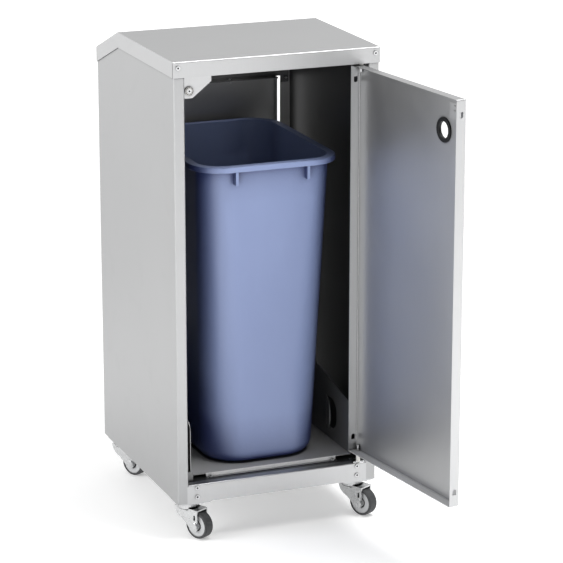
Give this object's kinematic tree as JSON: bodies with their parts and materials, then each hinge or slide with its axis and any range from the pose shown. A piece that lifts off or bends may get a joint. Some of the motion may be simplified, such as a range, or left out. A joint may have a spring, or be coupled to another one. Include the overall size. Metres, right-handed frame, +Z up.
{
  "type": "recycling bin",
  "caption": "Sheet-steel recycling cabinet on swivel casters: hinged door, lid with a deposit slot in its rear slope, and a loose tapered plastic wastebasket on a folded tray.",
  "frame": {"origin": "on the floor, under the middle of the cabinet's footprint", "axes": "+X to the right and +Y to the back of someone who faces the door, +Z up"},
  "size_m": [0.3984, 0.7429, 0.868],
  "materials": {
    "satin_steel": "satin",
    "zinc_steel": "bright zinc",
    "black_plastic": "satin",
    "nylon": "satin",
    "magnet": "nickel",
    "blue_plastic": "satin",
    "wheel_grey": "satin",
    "tyre_rubber": "matt"
  },
  "bodies": {
    "cabinet": {"left_side_panel": "satin_steel", "right_side_panel": "satin_steel", "base_pan": "satin_steel", "back_panel": "satin_steel", "rear_top_rail": "satin_steel", "lid": "satin_steel", "catch_gusset": "satin_steel", "door_stop": "satin_steel", "bin_tray": "satin_steel", "front_left_caster_bracket": "satin_steel", "front_right_caster_bracket": "satin_steel", "rear_left_caster_bracket": "satin_steel", "rear_right_caster_bracket": "satin_steel", "upper_hinge_bracket": "zinc_steel", "lower_hinge_bracket": "zinc_steel", "upper_hinge_pin": "zinc_steel", "lower_hinge_pin": "zinc_steel", "catch_screw": "zinc_steel", "lid_screws": "zinc_steel", "base_screws": "zinc_steel", "back_panel_screws": "zinc_steel", "tray_screws": "zinc_steel", "caster_bolts": "zinc_steel", "caster_nuts": "zinc_steel", "front_left_caster_plate": "zinc_steel", "front_left_king_pin": "zinc_steel", "front_right_caster_plate": "zinc_steel", "front_right_king_pin": "zinc_steel", "rear_left_caster_plate": "zinc_steel", "rear_left_king_pin": "zinc_steel", "rear_right_caster_plate": "zinc_steel", "rear_right_king_pin": "zinc_steel", "deposit_slot_trim": "black_plastic", "upper_hinge_washer": "nylon", "lower_hinge_spacer": "nylon", "catch_magnet": "magnet"},
    "door": {"door_panel": "satin_steel", "door_grommet": "black_plastic", "door_strike": "zinc_steel"},
    "wastebasket": {"wastebasket": "blue_plastic"},
    "front_left_swivel": {"front_left_fork": "zinc_steel", "front_left_axle": "zinc_steel"},
    "front_left_wheel": {"front_left_wheel_core": "wheel_grey", "front_left_tyre": "tyre_rubber"},
    "front_right_swivel": {"front_right_fork": "zinc_steel", "front_right_axle": "zinc_steel"},
    "front_right_wheel": {"front_right_wheel_core": "wheel_grey", "front_right_tyre": "tyre_rubber"},
    "rear_left_swivel": {"rear_left_fork": "zinc_steel", "rear_left_axle": "zinc_steel"},
    "rear_left_wheel": {"rear_left_wheel_core": "wheel_grey", "rear_left_tyre": "tyre_rubber"},
    "rear_right_swivel": {"rear_right_fork": "zinc_steel", "rear_right_axle": "zinc_steel"},
    "rear_right_wheel": {"rear_right_wheel_core": "wheel_grey", "rear_right_tyre": "tyre_rubber"}
  },
  "joints": [
    {"name": "door_hinge", "type": "hinge", "parent": "cabinet", "child": "door", "pos_m": [0.158, -0.206, 0.45], "axis": [0, 0, 1], "range_deg": [-98, 15]},
    {"name": "wastebasket_draw_out", "type": "slide", "parent": "cabinet", "child": "wastebasket", "axis": [0, -1, 0], "range_m": [0, 0.45]},
    {"name": "front_left_caster_swivel", "type": "hinge", "parent": "cabinet", "child": "front_left_swivel", "pos_m": [-0.159, -0.178, 0.055], "axis": [0, 0, 1], "continuous": true},
    {"name": "front_left_wheel_roll", "type": "hinge", "parent": "front_left_swivel", "child": "front_left_wheel", "pos_m": [-0.14679, -0.20096, 0.025], "axis": [0.8829, 0.4695, 0], "continuous": true},
    {"name": "front_right_caster_swivel", "type": "hinge", "parent": "cabinet", "child": "front_right_swivel", "pos_m": [0.159, -0.178, 0.055], "axis": [0, 0, 1], "continuous": true},
    {"name": "front_right_wheel_roll", "type": "hinge", "parent": "front_right_swivel", "child": "front_right_wheel", "pos_m": [0.17121, -0.20096, 0.025], "axis": [0.8829, 0.4695, 0], "continuous": true},
    {"name": "rear_left_caster_swivel", "type": "hinge", "parent": "cabinet", "child": "rear_left_swivel", "pos_m": [-0.159, 0.178, 0.055], "axis": [0, 0, 1], "continuous": true},
    {"name": "rear_left_wheel_roll", "type": "hinge", "parent": "rear_left_swivel", "child": "rear_left_wheel", "pos_m": [-0.14679, 0.15504, 0.025], "axis": [0.8829, 0.4695, 0], "continuous": true},
    {"name": "rear_right_caster_swivel", "type": "hinge", "parent": "cabinet", "child": "rear_right_swivel", "pos_m": [0.159, 0.178, 0.055], "axis": [0, 0, 1], "continuous": true},
    {"name": "rear_right_wheel_roll", "type": "hinge", "parent": "rear_right_swivel", "child": "rear_right_wheel", "pos_m": [0.17121, 0.15504, 0.025], "axis": [0.8829, 0.4695, 0], "continuous": true}
  ]
}
